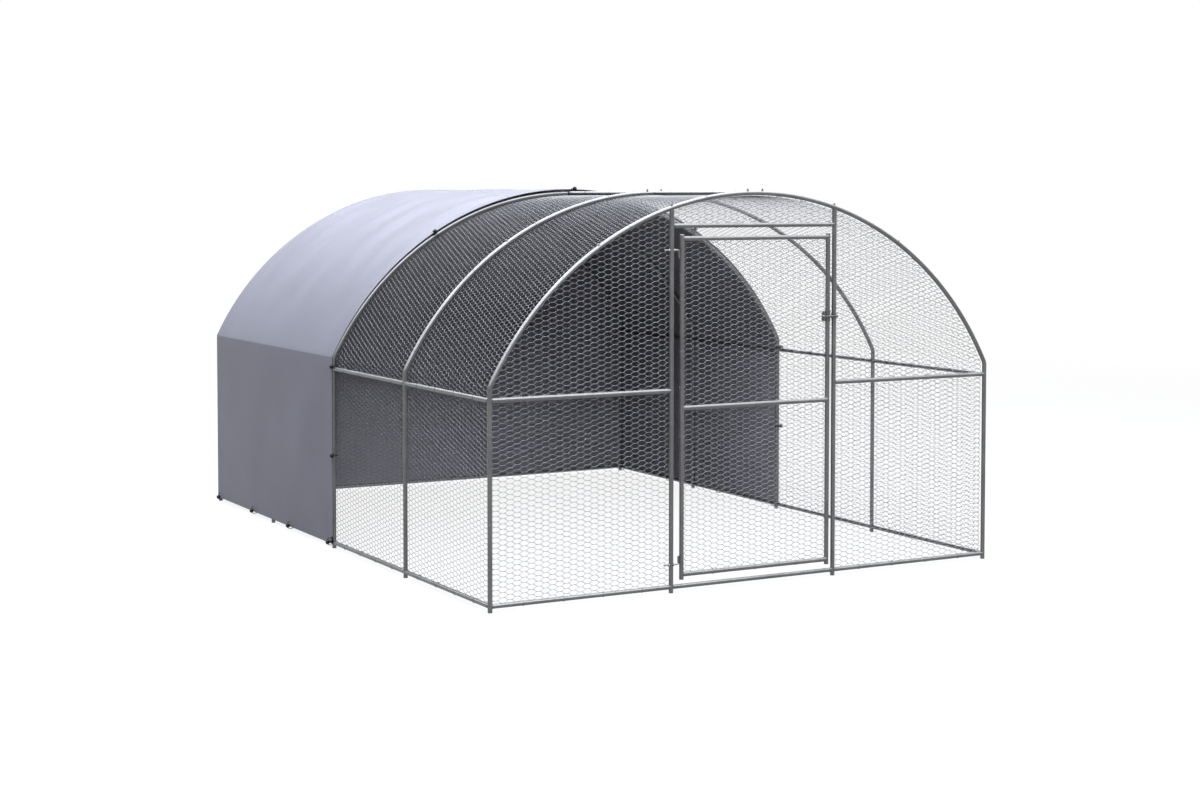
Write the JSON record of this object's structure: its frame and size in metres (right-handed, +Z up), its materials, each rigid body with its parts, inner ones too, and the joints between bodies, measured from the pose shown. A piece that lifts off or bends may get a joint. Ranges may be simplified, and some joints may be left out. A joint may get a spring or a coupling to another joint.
{
  "type": "poultry run",
  "caption": "Walk-in poultry run with an arched galvanised tube frame, hexagonal wire netting, a hinged door with a slide bolt and a grey cover tied over its rear half.",
  "frame": {"origin": "middle of the footprint at ground level, where the feet stand", "axes": "+Z up; +X to the right seen from the door; +Y from the door front to the covered rear"},
  "size_m": [3.0581, 4.0417, 2.0386],
  "materials": {
    "galvanised_tube": "galvanised, dull",
    "wire_netting": "galvanised wire",
    "cover_fabric": "woven, coated",
    "zinc_hardware": "zinc plated",
    "latch_steel": "galvanised",
    "eyelet_metal": "pressed",
    "tie_cord": "braided, elastic",
    "tie_ball": "moulded"
  },
  "bodies": {
    "frame": {"cover_eyelets": "eyelet_metal", "cover_left_wall": "cover_fabric", "cover_rear": "cover_fabric", "cover_right_wall": "cover_fabric", "cover_roof": "cover_fabric", "door_lintel": "galvanised_tube", "door_post_left": "galvanised_tube", "door_post_right": "galvanised_tube", "eave_rails": "galvanised_tube", "front_mid_rail_left": "galvanised_tube", "front_mid_rail_right": "galvanised_tube", "ground_crosses": "galvanised_tube", "ground_rail_rear": "galvanised_tube", "ground_rails_front": "galvanised_tube", "ground_rails_side": "galvanised_tube", "hinge_bolt_bottom": "zinc_hardware", "hinge_bolt_top": "zinc_hardware", "hinge_nuts": "zinc_hardware", "hoop_1_crowns": "galvanised_tube", "hoop_1_legs": "galvanised_tube", "hoop_1_side_arcs": "galvanised_tube", "hoop_2_crowns": "galvanised_tube", "hoop_2_legs": "galvanised_tube", "hoop_2_side_arcs": "galvanised_tube", "hoop_3_crowns": "galvanised_tube", "hoop_3_legs": "galvanised_tube", "hoop_3_side_arcs": "galvanised_tube", "hoop_4_crowns": "galvanised_tube", "hoop_4_legs": "galvanised_tube", "hoop_4_side_arcs": "galvanised_tube", "hoop_5_crowns": "galvanised_tube", "hoop_5_legs": "galvanised_tube", "hoop_5_side_arcs": "galvanised_tube", "latch_keeper": "latch_steel", "net_front_left": "wire_netting", "net_front_right": "wire_netting", "net_front_top": "wire_netting", "net_left_wall": "wire_netting", "net_rear": "wire_netting", "net_right_wall": "wire_netting", "net_roof_left": "wire_netting", "net_roof_right": "wire_netting", "post_bolts": "zinc_hardware", "ridge_bolts": "zinc_hardware", "ridge_crosses": "galvanised_tube", "ridge_rails": "galvanised_tube", "splice_screws": "zinc_hardware", "tie_balls": "tie_ball", "tie_cords": "tie_cord"},
    "door": {"door_hinge_stile": "galvanised_tube", "door_latch_stile": "galvanised_tube", "door_top_rail": "galvanised_tube", "door_mid_rail": "galvanised_tube", "door_bottom_rail": "galvanised_tube", "net_door": "wire_netting", "latch_clamp": "latch_steel", "latch_clamp_bolts": "zinc_hardware"},
    "latch": {"latch_bolt": "latch_steel"}
  },
  "joints": [
    {"name": "door_swing", "type": "hinge", "parent": "frame", "child": "door", "pos_m": [-0.45, -2, 0.93], "axis": [0, 0, -1], "range_deg": [0, 105]},
    {"name": "latch_slide", "type": "slide", "parent": "door", "child": "latch", "axis": [-1, 0, 0], "range_m": [0, 0.024]}
  ]
}
